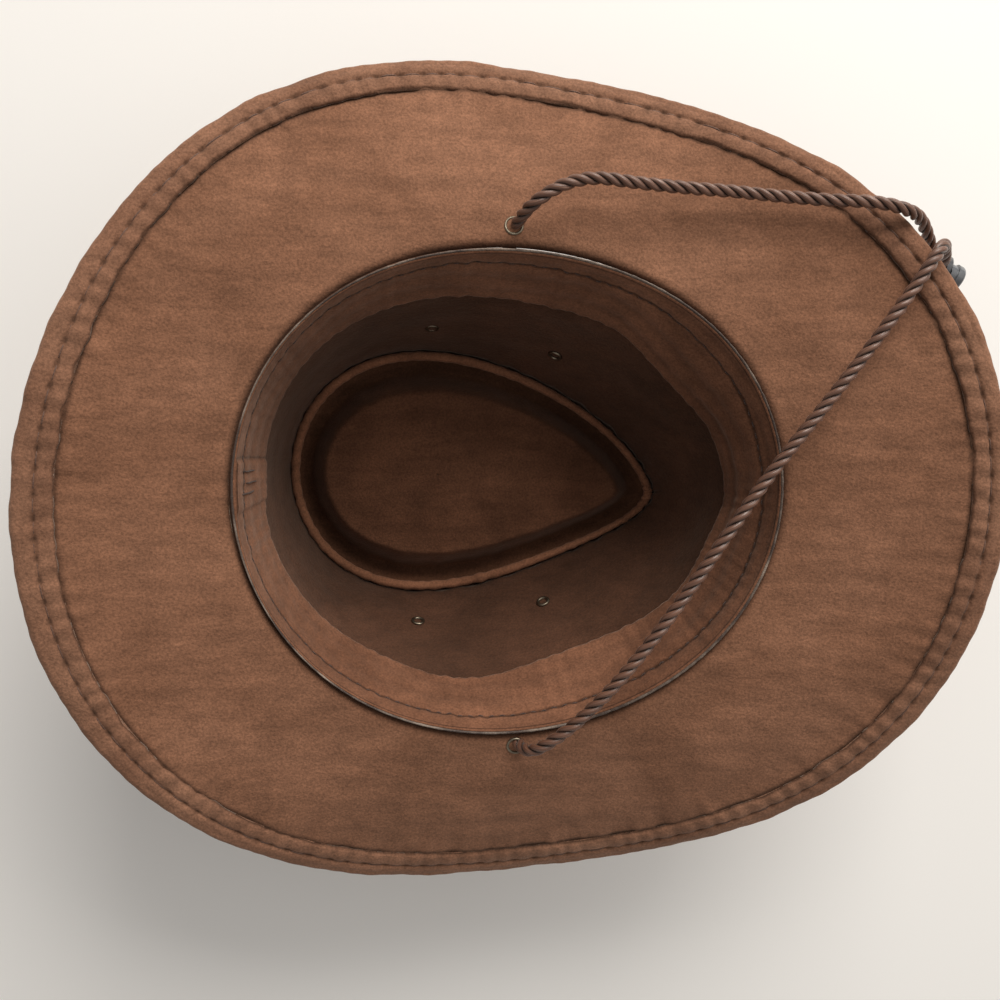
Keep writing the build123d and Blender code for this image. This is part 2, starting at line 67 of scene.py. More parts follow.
BRIM_EYELET_BORE, BRIM_FLANGE, VENT_BORE, VENT_FLANGE, FLANGE = 2.45, 3.5, 1.6, 3.0, 0.5
CORD_D, KNOT_R, STRAND_GAP = 4.6, 4.6, 5.6
LOCK_X, LOCK_Y = 159.0, 84.0
LOCK_AXIS = (0.88, -0.47)


# ---- camera -----------------------------------------------------------------------------------
def add_camera():
    data = bpy.data.cameras.new("camera")
    data.lens, data.sensor_width = 37.44, 36.0
    camera = bpy.data.objects.new("camera", data)
    bpy.context.scene.collection.objects.link(camera)
    camera.location = (-0.0263, 0.0446, 0.4721)
    camera.rotation_euler = (radians(-7.204), radians(-2.907), radians(-0.261))
    bpy.context.scene.camera = camera


add_camera()


# ---- the hat's formulas -------------------------------------------------------------------------
def wave(angle, mean, cosines, sines=()):
    value = mean + 0 * angle
    for k, share in enumerate(cosines, 1):
        value = value + share * np.cos(k * angle)
    for k, share in enumerate(sines, 1):
        value = value + share * np.sin(k * angle)
    return value


def mouth_radius(angle):
    return wave(angle, 92.0, (0.4, 4.4, 0.8), (0.4, 0.0, 0.7))


def brim_radius(angle):
    return wave(angle, 164.2, (3.5, 7.5, 3.4, -1.6, -1.0), (-0.6, -1.1, -1.2, 1.0))


def mouth_height(angle):
    return wave(angle, MOUTH_Z, (0.0, MOUTH_SADDLE))


def edge_height(angle):
    return wave(angle, 101.0, (-3.8, 23.7, 0.7, -1.0), (0.0, 3.6))


def brim_height(angle, radius):
    """Height of the brim's underside, which faces up, at a distance from the opening's middle."""
    mouth = mouth_radius(angle)
    u = (radius - mouth) / (brim_radius(angle) - mouth)
    return mouth_height(angle) + (edge_height(angle) - mouth_height(angle)) * (u + u * u) / 2


def teardrop(t, outline):
    """A point of a teardrop outline whose blunt, bent nose, towards the front, is at t = 0."""
    mid_x, half_length, width, blunt, bend = outline
    near_nose = ((1 + np.cos(t)) / 2) ** NOSE_POWER
    half_width = width * np.abs(np.sin(t / 2)) ** TIP_SHARPNESS + blunt * near_nose
    return mid_x + half_length * np.cos(t), half_width * np.sin(t) + bend * near_nose


def teardrop_radius(angle, outline):
    """A teardrop's radius from the top panel's hub."""
    x, y = teardrop(np.linspace(0, 2 * pi, 8000), outline)
    bearing = np.unwrap(np.arctan2(y, x - TIP_HUB_X))
    return np.interp((angle - bearing[0]) % (2 * pi), bearing - bearing[0], np.hypot(x - TIP_HUB_X, y))


def smooth(t):
    t = np.clip(t, 0, 1)
    return t * t * (3 - 2 * t)


def wall_share(z):
    s = (MOUTH_Z - z) / (MOUTH_Z - SEAM_Z)
    return WALL_TAPER * s + (1 - WALL_TAPER) * np.maximum(s, 0) ** 2


def wall_point(t, z, gap):
    """A point of the crown's wall at height z, a gap outside its inner outline."""
    tip_x, tip_y = teardrop(t, TIP_OUTLINE)
    x, y = mouth_radius(t) * np.cos(t), mouth_radius(t) * np.sin(t)
    run = np.hypot(x - tip_x, y - tip_y)
    step = gap - run * wall_share(z)
    return np.stack(np.broadcast_arrays(x + step * (x - tip_x) / run, y + step * (y - tip_y) / run, z), -1)


def brim_point(angle, inset, lift):
    """A point of the brim from its edge inwards, lifted along the brim's own normal."""
    radius = brim_radius(angle) - inset
    slope = brim_height(angle, radius + 0.5) - brim_height(angle, radius - 0.5)
    length = np.sqrt(1 + slope * slope)
    z = brim_height(angle, radius) + lift / length
    radius = radius - lift * slope / length
    return np.stack(np.broadcast_arrays(radius * np.cos(angle), radius * np.sin(angle), z), -1)


def ripple(angle, seed, low, high):
    """A smooth closed wave round the hat, about 1 high, from a band of whole waves."""
    rng = np.random.default_rng(seed)
    count = high - low + 1
    total = 0 * angle
    for k in range(low, high + 1):
        total = total + rng.normal() * np.sin(k * angle + rng.uniform(0, 2 * pi))
    return total / np.sqrt(count / 2)


def lumps(points, size, seed):
    """Smooth unevenness in space, about 1 high, with lumps of a given size."""
    rng = np.random.default_rng(seed)
    total = np.zeros(points.shape[:-1])
    for _ in range(14):
        direction = rng.normal(size=3)
        direction = direction / np.linalg.norm(direction) * rng.uniform(0.5, 1.5) * 2 * pi / size
        total = total + np.sin(points @ direction + rng.uniform(0, 2 * pi))
    return total / np.sqrt(7)


# ---- mesh tools ---------------------------------------------------------------------------------
def place(points):
    """From millimetres about the middle of the head opening into the frame's metres."""
    return (np.asarray(points, float) + (HEAD_X, HEAD_Y, 0)) * MM


def new_piece(name, vertices, faces, material, body, nodes, painted_shade=None):
    mesh = bpy.data.meshes.new(name)
    mesh.from_pydata(vertices.tolist(), [], faces)
    mesh.shade_smooth()
    mesh.materials.append(material)
    # The per-point attribute holds painted shade: the share by which a material darkens its colour where shade
    # falls.
    if painted_shade is not None:
        layer = mesh.attributes.new("painted_shade", "FLOAT", "POINT")
        layer.data.foreach_set("value", np.ravel(painted_shade).astype(float))
    piece = bpy.data.objects.new(name, mesh)
    bpy.context.scene.collection.objects.link(piece)
    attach(piece, body)
    if nodes:
        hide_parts(*nodes)
    return piece


def quads(rows, columns, first=0, close_rows=True, close_columns=True):
    """Faces of a grid whose rows and columns may close on themselves."""
    i = np.arange(rows if close_rows else rows - 1)[:, None]
    j = np.arange(columns if close_columns else columns - 1)[None, :]
    i2, j2 = (i + 1) % rows, (j + 1) % columns
    corners = [i * columns + j, i2 * columns + j, i2 * columns + j2, i * columns + j2]
    return (np.stack(np.broadcast_arrays(*corners), -1).reshape(-1, 4) + first).tolist()


def ring(name, points, material, nodes, painted_shade=None, body="hat"):
    """A piece that closes round the hat and round its own section: points[round, section]."""
    rows, columns = points.shape[:2]
    faces = quads(rows, columns)
    return new_piece(name, place(points.reshape(-1, 3)), faces, material, body, nodes, painted_shade)


def tube_points(path, radius, sides, up=(0.0, 0.0, 1.0)):
    """Rings of points round an open path; the radius may change along it."""
    path = np.asarray(path, float)
    tangent = np.gradient(path, axis=0)
    tangent /= np.linalg.norm(tangent, axis=1)[:, None]
    side = np.cross(tangent[0], up)
    if np.linalg.norm(side) < 0.1:
        side = np.cross(tangent[0], (1.0, 0.0, 0.0))
    frames = []
    for t in tangent:
        side = side - t * (side @ t)
        side = side / np.linalg.norm(side)
        frames.append((side, np.cross(t, side)))
    turn = np.linspace(0, 2 * pi, sides, endpoint=False)
    radius = np.broadcast_to(radius, len(path))
    return np.array([p + r * (np.cos(turn)[:, None] * s + np.sin(turn)[:, None] * n)
                     for p, r, (s, n) in zip(path, radius, frames)])


def capped(rings, first=0):
    """Faces of a closed tube from its rings, with flat ends."""
    rows, sides = rings.shape[:2]
    faces = quads(rows, sides, first, close_rows=False)
    faces.append([first + j for j in range(sides)])
    faces.append([first + (rows - 1) * sides + j for j in reversed(range(sides))])
    return faces


def threads(name, paths, radius, material, nodes, sides=6, body="hat"):
    """Many short closed tubes as one piece; each thins towards its ends."""
    vertices, faces, count = [], [], 0
    for path in paths:
        along = np.linspace(0, 1, len(path))
        rings = tube_points(path, radius * (0.35 + 0.65 * np.sin(pi * along) ** 0.5), sides)
        faces += capped(rings, count)
        vertices.append(rings.reshape(-1, 3))
        count += rings.shape[0] * sides
    return new_piece(name, place(np.concatenate(vertices)), faces, material, body, nodes)


# ---- materials ----------------------------------------------------------------------------------
class Shader:
    """A Principled material with helpers that add its nodes."""

    def __init__(self, name, **sockets):
        self.material = bpy.data.materials.new(name)
        self.material.use_nodes = True
        self.nodes, self.links = self.material.node_tree.nodes, self.material.node_tree.links
        self.principled = self.nodes["Principled BSDF"]
        for socket, value in sockets.items():
            self.principled.inputs[socket.replace("_", " ")].default_value = value
        self.place = self.nodes.new("ShaderNodeTexCoord").outputs["Object"]

    def mapped(self, scale, rotation=(0.0, 0.0, 0.0)):
        node = self.nodes.new("ShaderNodeMapping")
        self.links.new(self.place, node.inputs["Vector"])
        node.inputs["Scale"].default_value = scale
        node.inputs["Rotation"].default_value = rotation
        return node.outputs["Vector"]

    def noise(self, scale, detail=3.0, roughness=0.55, vector=None, distortion=0.0):
        node = self.nodes.new("ShaderNodeTexNoise")
        self.links.new(vector or self.place, node.inputs["Vector"])
        for socket, value in (("Scale", scale), ("Detail", detail), ("Roughness", roughness),
                              ("Distortion", distortion)):
            node.inputs[socket].default_value = value
        return node.outputs["Fac"]

    def ramp(self, value, stops):
        """Colours or greys at places from 0 to 1."""
        node = self.nodes.new("ShaderNodeValToRGB")
        self.links.new(value, node.inputs["Fac"])
        elements = node.color_ramp.elements
        while len(elements) < len(stops):
            elements.new(0.5)
        for element, (position, colour) in zip(elements, stops):
            element.position = position
            element.color = (*colour, 1) if isinstance(colour, tuple) else (colour, colour, colour, 1)
        return node.outputs["Color"]

    def blend(self, mode, factor, a, b):
        node = self.nodes.new("ShaderNodeMix")
        node.data_type, node.blend_type = "RGBA", mode
        for socket, value in ((node.inputs["Factor"], factor), (node.inputs["A"], a), (node.inputs["B"], b)):
            if isinstance(value, (int, float)):
                socket.default_value = value
            elif isinstance(value, tuple):
                socket.default_value = (*value, 1)
            else:
                self.links.new(value, socket)
        return node.outputs["Result"]

    def attribute(self, name):
        node = self.nodes.new("ShaderNodeAttribute")
        node.attribute_name = name
        return node.outputs["Fac"]

    def bump(self, height, distance, strength=1.0, below=None):
        node = self.nodes.new("ShaderNodeBump")
        node.inputs["Strength"].default_value = strength
        node.inputs["Distance"].default_value = distance
        self.links.new(height, node.inputs["Height"])
        if below is not None:
            self.links.new(below, node.inputs["Normal"])
        return node.outputs["Normal"]

    def finish(self, colour=None, normal=None, roughness=None):
        for socket, value in (("Base Color", colour), ("Normal", normal), ("Roughness", roughness)):
            if value is not None:
                self.links.new(value, self.principled.inputs[socket])
        return self.material


def suede(name, base, dark, light, patches=0.5, streak_turn=0.3, with_painted_shade=False):
    """Brushed suede cloth: broad nap patches, brush streaks, flecks and a short fuzzy grain; on request
    darkened by the painted shade that each piece stores per point.
    """
    s = Shader(name, Roughness=0.92, Sheen_Weight=0.22, Sheen_Roughness=0.45,
               Sheen_Tint=(0.95, 0.72, 0.58, 1.0), Specular_IOR_Level=0.18)
    patch = s.noise(17.0, 4.0, 0.6, distortion=0.6)
    colour = s.blend("MIX", s.ramp(patch, [(0.34, 0.0), (0.66, 1.0)]), dark, light)
    colour = s.blend("MIX", 1.0 - patches, colour, base)
    streaks = s.noise(1.0, 3.0, 0.6, s.mapped((38.0, 210.0, 90.0), (0.0, 0.0, streak_turn)))
    colour = s.blend("MULTIPLY", 0.55, colour, s.ramp(streaks, [(0.3, 0.70), (0.7, 1.22)]))
    blots = s.noise(95.0, 4.0, 0.65)
    colour = s.blend("MULTIPLY", 0.5, colour, s.ramp(blots, [(0.3, 0.72), (0.72, 1.2)]))
    fleck = s.noise(1150.0, 2.0, 0.7)
    colour = s.blend("MULTIPLY", 0.75, colour, s.ramp(fleck, [(0.32, 0.62), (0.68, 1.3)]))
    # Painted shade: the colour darkens where the piece's attribute marks shade.
    if with_painted_shade:
        colour = s.blend("MULTIPLY", 1.0, colour, s.ramp(s.attribute("painted_shade"), [(0.0, 1.0), (1.0, 0.28)]))
    grain = s.bump(fleck, 0.00022, 0.75)
    brushed = s.noise(420.0, 3.0, 0.6, s.mapped((1.0, 1.6, 1.0), (0.0, 0.0, streak_turn)))
    wisps = s.bump(brushed, 0.0005, 0.5, grain)
    normal = s.bump(blots, 0.0010, 0.35, wisps)
    return s.finish(colour, normal)


def board():
    s = Shader("board", Roughness=0.95)
    fibre = s.noise(700.0, 4.0, 0.7)
    colour = s.ramp(fibre, [(0.3, (0.42, 0.35, 0.26)), (0.7, (0.62, 0.54, 0.42))])
    return s.finish(colour, s.bump(fibre, 0.0003))


def thread(name, dark, light):
    """Twisted sewing thread."""
    s = Shader(name, Roughness=0.6, Sheen_Weight=0.2)
    twist = s.noise(1.0, 2.0, 0.5, s.mapped((2600.0, 2600.0, 2600.0)))
    return s.finish(s.ramp(twist, [(0.35, dark), (0.65, light)]), s.bump(twist, 0.00015))


def reed_cloth():
    """The sweatband's thin edge piping: dark, with pale patches at random along it that are a painted
    highlight.
    """
    s = Shader("reed_cloth", Roughness=0.5, Sheen_Weight=0.2)
    wear_and_highlight = s.noise(60.0, 3.0, 0.6)
    yarn = s.noise(1.0, 2.0, 0.5, s.mapped((1900.0, 1900.0, 1900.0)))
    # The pale stop is a painted highlight along the piping's edge.
    colour = s.ramp(wear_and_highlight, [(0.42, (0.050, 0.028, 0.019)), (0.68, (0.30, 0.23, 0.18))])
    colour = s.blend("MULTIPLY", 0.6, colour, s.ramp(yarn, [(0.35, 0.45), (0.65, 1.3)]))
    return s.finish(colour, s.bump(yarn, 0.0002))


def rope_yarn():
    """Satin yarn: fine fibres along each strand, given by the rope's own map, over a deep brown, with painted
    shade in the grooves between the strands.
    """
    s = Shader("rope_yarn", Roughness=0.34, Sheen_Weight=0.15, Sheen_Roughness=0.3, Specular_IOR_Level=0.6)
    fibre_map = s.nodes.new("ShaderNodeUVMap")
    fibre_map.uv_map = "fibres"
    mapping = s.nodes.new("ShaderNodeMapping")
    s.links.new(fibre_map.outputs["UV"], mapping.inputs["Vector"])
    mapping.inputs["Scale"].default_value = (26.0, 1.2, 1.0)
    fibres = s.noise(1.0, 3.0, 0.6, mapping.outputs["Vector"])
    colour = s.ramp(fibres, [(0.3, (0.065, 0.027, 0.017)), (0.55, (0.150, 0.068, 0.041)),
                             (0.75, (0.26, 0.135, 0.085))])
    worn = s.noise(55.0, 3.0, 0.6)
    colour = s.blend("MULTIPLY", 0.4, colour, s.ramp(worn, [(0.3, 0.75), (0.7, 1.2)]))
    # Painted shade: darker in the grooves between the strands.
    colour = s.blend("MULTIPLY", 1.0, colour, s.ramp(s.attribute("painted_shade"), [(0.0, 1.0), (0.9, 0.16)]))
    rough = s.ramp(fibres, [(0.3, 0.5), (0.7, 0.28)])
    return s.finish(colour, s.bump(fibres, 0.00018, 0.8), rough)


def leather(name, dark, light):
    """Matt imitation leather with a fine pebble and rubbed high spots."""
    s = Shader(name, Roughness=0.5, Coat_Weight=0.08)
    cells = s.nodes.new("ShaderNodeTexVoronoi")
    s.links.new(s.place, cells.inputs["Vector"])
    cells.inputs["Scale"].default_value = 900.0
    wear_and_highlight = s.noise(70.0, 4.0, 0.6)
    colour = s.ramp(wear_and_highlight, [(0.35, dark), (0.7, light)])
    pebble = cells.outputs["Distance"]
    colour = s.blend("MULTIPLY", 0.4, colour, s.ramp(pebble, [(0.0, 0.6), (0.6, 1.15)]))
    rough = s.ramp(wear_and_highlight, [(0.3, 0.62), (0.7, 0.42)])
    return s.finish(colour, s.bump(pebble, 0.00025, 0.6), rough)


def metal(name, bright, tarnish, roughness=0.34):
    """Aged metal: satin with tarnish in patches and fine scratches."""
    s = Shader(name, Metallic=1.0, Roughness=roughness)
    age = s.noise(240.0, 4.0, 0.65)
    scratches = s.noise(1.0, 2.0, 0.6, s.mapped((300.0, 2600.0, 1200.0), (0.4, 0.2, 0.7)))
    colour = s.ramp(age, [(0.35, tarnish), (0.68, bright)])
    rough = s.ramp(age, [(0.3, min(roughness + 0.25, 1.0)), (0.7, roughness - 0.06)])
    return s.finish(colour, s.bump(scratches, 0.00006, 0.5), rough)


def moulded(name, dark, light):
    """Glossy moulded plastic with a faint orange peel and fine handling marks."""
    s = Shader(name, Roughness=0.22, Coat_Weight=0.25, Coat_Roughness=0.12)
    marks = s.noise(160.0, 4.0, 0.65)
    peel = s.noise(1400.0, 1.0, 0.4)
    rough = s.ramp(marks, [(0.35, 0.16), (0.7, 0.36)])
    return s.finish(s.ramp(marks, [(0.3, dark), (0.7, light)]), s.bump(peel, 0.00003, 0.4), rough)


BRIM_SUEDE = suede("brim_suede", (0.235, 0.108, 0.060), (0.170, 0.078, 0.044), (0.285, 0.138, 0.082), 0.6,
                   with_painted_shade=True)
HEM_SUEDE = suede("hem_suede", (0.235, 0.112, 0.066), (0.165, 0.078, 0.046), (0.300, 0.155, 0.095), 0.6,
                  0.9, True)
# The side lining and the top panel's lining are darker copies of the brim's suede: painted shade for the
# inside of the crown.
SHADED_LINING_SUEDE = suede("lining_suede", (0.085, 0.037, 0.020), (0.055, 0.024, 0.013), (0.110, 0.048, 0.027), 0.7,
                     -0.5, True)
SHADED_TIP_SUEDE = suede("tip_suede", (0.140, 0.060, 0.032), (0.095, 0.041, 0.022), (0.175, 0.077, 0.042), 0.7,
                  -0.5, True)
WELT_SUEDE = suede("welt_suede", (0.270, 0.118, 0.064), (0.200, 0.088, 0.048), (0.330, 0.150, 0.084), 0.7,
                   -0.5, True)
BAND_SUEDE = suede("band_suede", (0.195, 0.084, 0.045), (0.128, 0.054, 0.029), (0.245, 0.110, 0.062), 0.75,
                   1.2, True)
DARK_THREAD = thread("dark_thread", (0.020, 0.009, 0.006), (0.075, 0.034, 0.022))
HEM_THREAD = thread("hem_thread", (0.060, 0.028, 0.017), (0.150, 0.072, 0.045))
REED = reed_cloth()
ROPE = rope_yarn()


# ---- chin cord ----------------------------------------------------------------------------------
RIGHT_STRAND = [(3.4, 92.0, 88.5), (3.6, 97.6, 112.2), (24, 110.5, 113.5), (50, 107.2, 111.5),
                (80, 105.5, 109.5), (106, 102.5, 112), (126, 101.3, 116.5), (137.5, 98.8, 115.8),
                (145, 97, 108.5), (150.5, 92, 102.5)]
LEFT_STRAND = [(3.3, -89.9, 88.5), (3.6, -95.5, 112.2), (24, -80.5, 117.5), (44, -58, 120), (64, -30, 121),
               (89, 7, 119.5), (115, 39, 118.5), (134, 65, 119), (146.5, 83.5, 119), (152.5, 88.3, 111.5),
               (156.5, 86.5, 103)]
LOOP = ((STRAND_GAP / 2, 94.5), (STRAND_GAP / 2, 44.0), (15.0, 28.0), (15.5, 14.0), (8.0, 5.0))


def hanging(side):
    """One side of the hanging loop, in the upright plane of the lock's axis."""
    return [(LOCK_X + side * out * LOCK_AXIS[0], LOCK_Y + side * out * LOCK_AXIS[1], z) for out, z in LOOP]


def spline_points(name, route):
    """Points along the smooth NURBS spline through a route, in the frame's metres."""
    curve = bpy.data.curves.new(name, "CURVE")
    curve.dimensions = "3D"
    spline = curve.splines.new("NURBS")
    spline.points.add(len(route) - 1)
    for point, at in zip(spline.points, place(route)):
        point.co = (*at, 1)
    spline.order_u = 3
    spline.use_endpoint_u = True
    spline.resolution_u = 24
    holder = bpy.data.objects.new(name, curve)
    mesh = bpy.data.meshes.new_from_object(holder)
    points = np.array([v.co[:] for v in mesh.vertices])
    bpy.data.objects.remove(holder)
    bpy.data.meshes.remove(mesh)
    bpy.data.curves.remove(curve)
    return points


def even(points, spacing):
    """The same line with its points evenly spaced."""
    steps = np.linalg.norm(np.diff(points, axis=0), axis=1)
    along = np.concatenate([[0], np.cumsum(steps)])
    wanted = np.linspace(0, along[-1], int(along[-1] / spacing) + 1)
    return np.stack([np.interp(wanted, along, points[:, k]) for k in range(3)], -1), wanted


def twisted(name, line, radius, lead, body, nodes, sides=14):
    """A rope of three plump satin strands laid round a line, in metres."""
    points, along = even(line, lead / 26)
    frames = tube_points(points, 1.0, 4)
    across = (frames[:, 0] - points), (frames[:, 1] - points)
    strand_r, offset = radius * 0.478, radius * 0.522
    vertices, faces, fibre_uv, groove_shade, count = [], [], [], [], 0
    for strand in range(3):
        turn = 2 * pi * (along / lead + strand / 3)
        swell = (1 + 0.035 * np.sin(along / lead * 9.7 + strand * 2.1)
                 + 0.02 * np.sin(along / lead * 23.0 + strand))
        centre = points + offset * (np.cos(turn)[:, None] * across[0] + np.sin(turn)[:, None] * across[1])
        rings = tube_points(centre, strand_r * swell, sides)
        faces += capped(rings, count)
        vertices.append(rings.reshape(-1, 3))
        count += len(points) * sides
        # Painted shade: darker where a strand's surface lies nearer the rope's axis, in the grooves between
        # the strands.
        depth = np.linalg.norm(rings - points[:, None, :], axis=2) / radius
        groove_shade.append(smooth((0.93 - depth) / 0.33).ravel())
        fibre_uv.append(np.stack(np.broadcast_arrays(
            np.arange(sides)[None, :] / sides, along[:, None] / lead, strand), -1).reshape(-1, 3))
    vertices = np.concatenate(vertices)
    rope = new_piece(name, vertices, faces, ROPE, body, nodes, np.concatenate(groove_shade))
    fibre_uv = np.concatenate(fibre_uv)
    layer = rope.data.uv_layers.new(name="fibres")
    loops = np.empty(len(rope.data.loops), int)
    rope.data.loops.foreach_get("vertex_index", loops)
    uv = fibre_uv[loops][:, :2].copy()
    starts = np.array([p.loop_start for p in rope.data.polygons])
    totals = np.array([p.loop_total for p in rope.data.polygons])
    for start, total in zip(starts, totals):
        if total == 4 and np.ptp(uv[start:start + 4, 0]) > 0.5:
            block = uv[start:start + 4, 0]
            block[block < 0.5] += 1
    layer.data.foreach_set("uv", uv.ravel())
    return rope


route = RIGHT_STRAND + hanging(-1) + hanging(1)[::-1] + LEFT_STRAND[::-1]
cord_line = spline_points("cord_line", route)
rope_line, rope_along = even(cord_line, 0.0005)
rope = twisted("chin_rope", rope_line, CORD_D / 2 * MM, 0.0136, "hat", ["chin_cord"])


def rope_knot(side, at):
    """A plump overhand knot in the rope's end, pulled tight against the washer."""
    t = np.linspace(0, 2 * pi, 160)
    radius = 1 + 0.42 * np.cos(3 * t)
    line = np.stack([radius * np.cos(2 * t), radius * np.sin(2 * t), 0.85 * np.sin(3 * t)], -1)
    line = place([at])[0] + line[:-4] * (KNOT_R - 1.25) / 1.55 * MM
    return twisted(f"rope_knot_{side}", line, 1.45 * MM, 0.0082, "hat", [f"cord_knot_{side}"], 10)


knots = [rope_knot("right", RIGHT_STRAND[0]), rope_knot("left", LEFT_STRAND[0])]

# ---- brim ---------------------------------------------------------------------------------------
ROUND = 1640
ANGLE = np.linspace(0, 2 * pi, ROUND, endpoint=False)
edge = brim_radius(ANGLE)
edge_steps = np.hypot(edge * np.cos(ANGLE) - np.roll(edge * np.cos(ANGLE), 1),
                      edge * np.sin(ANGLE) - np.roll(edge * np.sin(ANGLE), 1))
EDGE_ALONG = np.cumsum(edge_steps) - edge_steps[0]
STITCHES = round(float(edge_steps.sum()) / HEM_STITCH)
STITCH_PHASE = 2 * pi * STITCHES * EDGE_ALONG / edge_steps.sum() + 0.8 * ripple(ANGLE, 11, 20, 40)


def scallop(phase):
    """0 where a stitch dives into the cloth, 1 between stitches."""
    return np.sin(phase / 2) ** 2


def brim_cloth(name, node, upper):
    """One of the brim's two suede sheets; its inner edge rolls down into the head opening."""
    angle = ANGLE[:, None]
    share = np.linspace(0, 1, 64)[None, :] ** 0.9
    inner = mouth_radius(angle) + (0.9 if upper else LINING_GAP + LINING + 0.4)
    radius = inner + (brim_radius(angle) - HEM_LAP - inner) * share
    inset = brim_radius(angle) - radius
    from_mouth = radius - inner
    near_hem = np.exp(-((inset - HEM_WIDTH) / 9.0) ** 2)
    phase = STITCH_PHASE[:, None]
    pucker = near_hem * (0.16 * np.cos(phase) + 0.22 * ripple(angle, 5, 30, 75))
    flat = np.stack(np.broadcast_arrays(radius * np.cos(angle), radius * np.sin(angle), 0 * radius), -1)
    uneven = 0.32 * lumps(flat, 46.0, 3) + 0.10 * lumps(flat, 13.0, 4)
    fold_in = np.clip(1 - from_mouth / 3.2, 0, 1)
    settle = smooth(from_mouth / 14.0) * smooth((inset - HEM_LAP) / 6.0)
    dip = 0.35 * np.exp(-((inset - HEM_WIDTH + 0.4) / 0.9) ** 2)
    if upper:
        top = -1.5 * fold_in ** 2 - dip + np.maximum((pucker + uneven) * settle, -0.5)
        low = top - CLOTH
    else:
        low = -BRIM + np.minimum((pucker + uneven) * settle * 0.8, 0.45) + dip
        top = low + CLOTH
    body = np.concatenate([brim_point(angle, inset, top), brim_point(angle, inset[:, ::-1], low[:, ::-1])], 1)
    # Painted shade: darker along the hem's fold line and, on the upper sheet, where it rolls down into the
    # head opening.
    line = np.exp(-((inset - HEM_WIDTH) / 0.9) ** 2)
    mouth_shade = np.exp(-(from_mouth / 1.6) ** 2) * 0.9 if upper else 0 * from_mouth
    shade = np.clip(line * (0.9 + 0.1 * np.cos(phase)) + mouth_shade, 0, 1)
    return ring(name, body, BRIM_SUEDE, [node], np.concatenate([shade, shade[:, ::-1]], 1))


brim_cloth("brim_under_suede", "brim_under_cloth", True)
brim_cloth("brim_top_suede", "brim_top_cloth", False)


def brim_hem():
    """The bound edge: a cloth fold over the wire, quilted into pads by its stitches."""
    angle, phase = ANGLE[:, None], STITCH_PHASE[:, None]
    pads, unevenness = scallop(phase), ripple(angle, 21, 8, 60)
    fold = HEM_WIDTH + 0.30 * (pads - 0.5) + 0.28 * unevenness
    skin, half = 0.9, BRIM / 2

    def quilted(share):
        """Lift of the skin from the fold (share 0) to the outer roll (share 1)."""
        inset = fold + (half + skin - fold) * share
        inner = np.clip((inset - STITCH_INSET) / (fold - STITCH_INSET), 0, 1)
        outer = np.clip((STITCH_INSET - inset) / (STITCH_INSET - half - skin), 0, 1)
        groove = np.exp(-((inset - STITCH_INSET) / 0.5) ** 2)
        lip = 1 - np.clip(1 - inner, 0, 0.16) / 0.16
        lift = skin + 0.95 * np.sin(pi * inner) ** 0.7 * (0.35 + 0.65 * pads)
        lift = lift + 0.5 * np.sin(pi * outer) * (0.6 + 0.4 * pads) + 0.12 * unevenness * np.sin(pi * share)
        lift = lift - groove * (0.15 + 0.55 * (1 - pads)) - 0.95 * lip ** 2
        hole = np.exp(-((inset - STITCH_INSET) / 0.9) ** 2) * (1 - pads) ** 3
        # Painted shade: darker in the stitch groove and holes, along the fold's lip and in the hollows between
        # the pads.
        shade = np.clip(0.12 * groove + 0.7 * hole + lip ** 2 + 0.15 * (1 - pads) ** 4 * (inner > 0), 0, 1)
        return inset, lift, shade

    share = np.linspace(0, 1, 26)[None, :]
    inset, lift, shade = quilted(share)
    turn = np.linspace(0, pi, 12)[None, 1:-1]
    outer_r = half + skin
    swell = 1 + 0.05 * pads + 0.05 * ripple(angle, 8, 10, 50)
    sections = [(inset, lift, shade)]
    sections.append((outer_r - outer_r * np.sin(turn) * swell, -half + outer_r * np.cos(turn) * swell,
                     0 * turn * pads))
    sections.append((inset[:, ::-1], -BRIM - lift[:, ::-1], shade[:, ::-1]))
    back = np.linspace(0, 1, 5)[None, :]
    reach = HEM_WIDTH - skin - 1
    core = np.concatenate([HEM_WIDTH - reach * back, skin + 1 + reach * back], 1)
    core_lift = np.concatenate([-BRIM + 0 * back, 0 * back], 1)
    sections.append((core + 0 * pads, core_lift + 0 * pads, 0 * core * pads))
    insets, lifts, shades = (
        np.concatenate([np.broadcast_to(s[k], (ROUND, s[k].shape[1])) for s in sections], 1) for k in range(3))
    return ring("brim_hem_suede", brim_point(angle, insets, lifts), HEM_SUEDE, ["brim_hem"], shades)


brim_hem()


def along_edge(phase_wanted):
    """Angles round the brim at which the stitching reaches given phases."""
    order = np.argsort(STITCH_PHASE)
    return np.interp(phase_wanted, STITCH_PHASE[order], ANGLE[order])


def hem_stitches():
    """Every stitch of the hem on both faces: a short thread that dives into the cloth at its ends."""
    paths = []
    step = np.linspace(0, 1, 9)
    for k in range(STITCHES):
        angles = along_edge(2 * pi * (k + 0.10 + 0.80 * step))
        sink = 1.15 * (2 * np.abs(step - 0.5)) ** 4
        for lift in (0.78 - sink, -BRIM - 0.78 + sink):
            paths.append(brim_point(angles, STITCH_INSET + 0.18 * np.sin(9 * k), lift))
    return threads("hem_threads", paths, 0.27, HEM_THREAD, ["hem_stitching"])


hem_stitches()

# ---- sweatband ----------------------------------------------------------------------------------
BAND_ROUND = 1100
T = np.linspace(0, 2 * pi, BAND_ROUND, endpoint=False)


def around(t, middle, width):
    """1 at an angle and falling smoothly to 0 a width away from it."""
    off = np.arctan2(np.sin(t - middle), np.cos(t - middle))
    return np.exp(-(off / width) ** 2)


